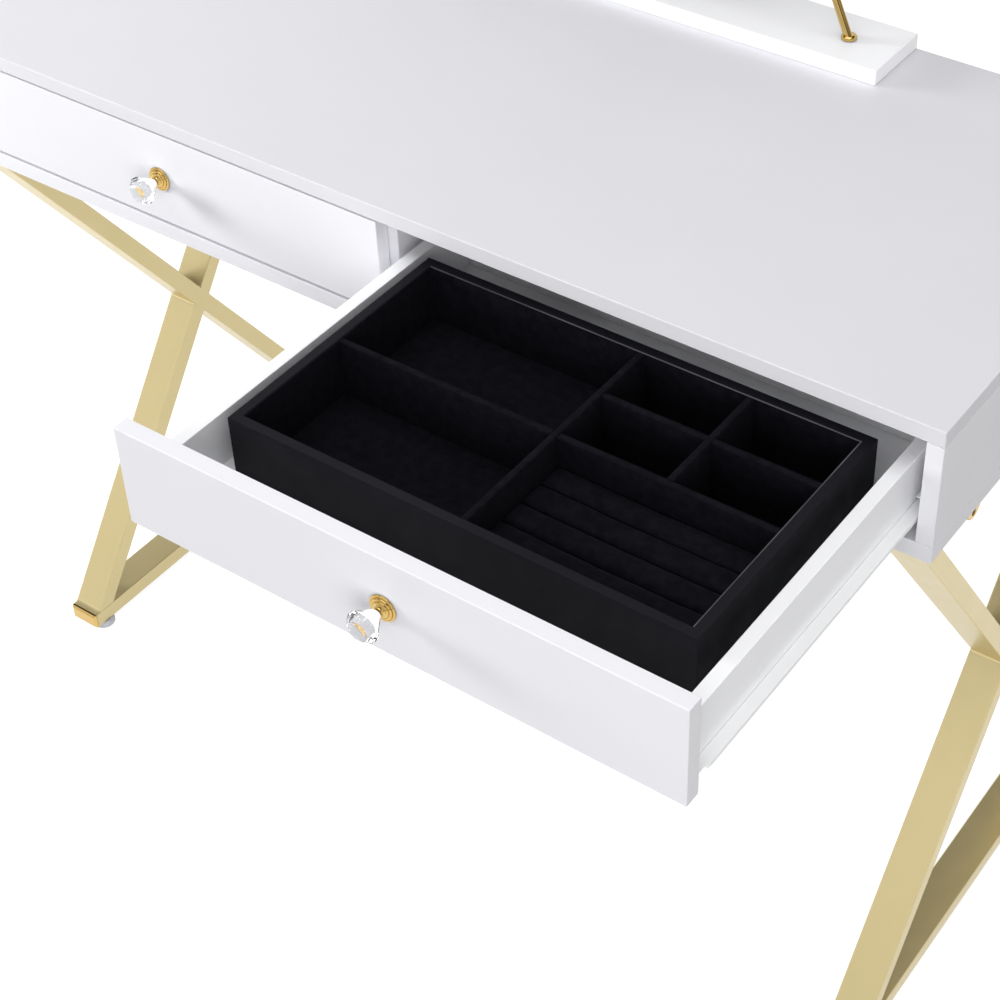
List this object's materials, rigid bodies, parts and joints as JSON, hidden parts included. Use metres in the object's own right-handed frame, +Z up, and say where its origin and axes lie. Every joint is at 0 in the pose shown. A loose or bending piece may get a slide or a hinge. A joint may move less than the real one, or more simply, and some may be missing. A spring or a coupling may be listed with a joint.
{
  "type": "vanity table with mirror",
  "caption": "Vanity table on crossed-tube frames, with inset drawers on roller slides, crystal knobs, a lift-out jewellery tray and a tilting oval mirror on a small stand.",
  "frame": {"origin": "middle of the bounding box on the floor, with the right drawer standing open as stored", "axes": "+X to the sitter's right, +Y from the drawer fronts to the back, +Z up"},
  "size_m": [1.067, 0.8384, 1.3723],
  "materials": {
    "white_lacquer": "satin white lacquered board",
    "slide_epoxy": "white epoxy-coated sheet steel",
    "champagne_gold": "satin champagne gold",
    "polished_gold": "polished gold plating",
    "white_nylon": "moulded nylon",
    "crystal": "cut and polished clear crystal",
    "black_board": "satin black",
    "black_velvet": "flocked velvet",
    "mirror_silver": "silvered glass"
  },
  "bodies": {
    "root": {"top_panel": "white_lacquer", "bottom_panel": "white_lacquer", "left_side_panel": "white_lacquer", "right_side_panel": "white_lacquer", "centre_divider": "white_lacquer", "back_panel": "white_lacquer", "mirror_base_board": "white_lacquer", "mirror_post_left": "polished_gold", "mirror_post_right": "polished_gold", "mirror_tilt_bar": "polished_gold", "left_long_leg": "champagne_gold", "left_lower_leg": "champagne_gold", "left_upper_leg": "champagne_gold", "left_bottom_bar": "champagne_gold", "left_front_end_cap": "polished_gold", "left_rear_end_cap": "polished_gold", "left_front_glide": "white_nylon", "left_rear_glide": "white_nylon", "left_side_lug": "polished_gold", "left_bay_left_channel": "slide_epoxy", "left_bay_right_channel": "slide_epoxy", "right_long_leg": "champagne_gold", "right_lower_leg": "champagne_gold", "right_upper_leg": "champagne_gold", "right_bottom_bar": "champagne_gold", "right_front_end_cap": "polished_gold", "right_rear_end_cap": "polished_gold", "right_front_glide": "white_nylon", "right_rear_glide": "white_nylon", "right_side_lug": "polished_gold", "right_bay_left_channel": "slide_epoxy", "right_bay_right_channel": "slide_epoxy"},
    "left_drawer": {"left_drawer_front": "white_lacquer", "left_drawer_left_side": "white_lacquer", "left_drawer_right_side": "white_lacquer", "left_drawer_back": "white_lacquer", "left_drawer_bottom": "white_lacquer", "left_drawer_knob_rosette": "polished_gold", "left_drawer_knob_crystal": "crystal", "left_drawer_left_runner": "slide_epoxy", "left_drawer_right_runner": "slide_epoxy"},
    "right_drawer": {"right_drawer_front": "white_lacquer", "right_drawer_left_side": "white_lacquer", "right_drawer_right_side": "white_lacquer", "right_drawer_back": "white_lacquer", "right_drawer_bottom": "white_lacquer", "right_drawer_knob_rosette": "polished_gold", "right_drawer_knob_crystal": "crystal", "right_drawer_left_runner": "slide_epoxy", "right_drawer_right_runner": "slide_epoxy"},
    "tray": {"tray_frame": "black_board", "tray_bottom": "black_velvet", "tray_middle_divider": "black_velvet", "tray_left_divider": "black_velvet", "tray_right_divider": "black_velvet", "tray_cell_divider": "black_velvet", "ring_cushion": "black_velvet"},
    "mirror": {"mirror_frame": "polished_gold", "mirror_glass": "mirror_silver", "mirror_backing": "black_board"}
  },
  "joints": [
    {"name": "left_drawer_slide", "type": "slide", "parent": "root", "child": "left_drawer", "axis": [0, -1, 0], "range_m": [0, 0.328]},
    {"name": "right_drawer_slide", "type": "slide", "parent": "root", "child": "right_drawer", "axis": [0, -1, 0], "range_m": [-0.322, 0.006]},
    {"name": "tray_lift", "type": "slide", "parent": "right_drawer", "child": "tray", "axis": [0, -0.37, 0.929], "range_m": [0, 0.12]},
    {"name": "mirror_tilt", "type": "hinge", "parent": "root", "child": "mirror", "pos_m": [0, 0.3698, 1.1123], "axis": [-1, 0, 0], "range_deg": [-3, 20]}
  ]
}
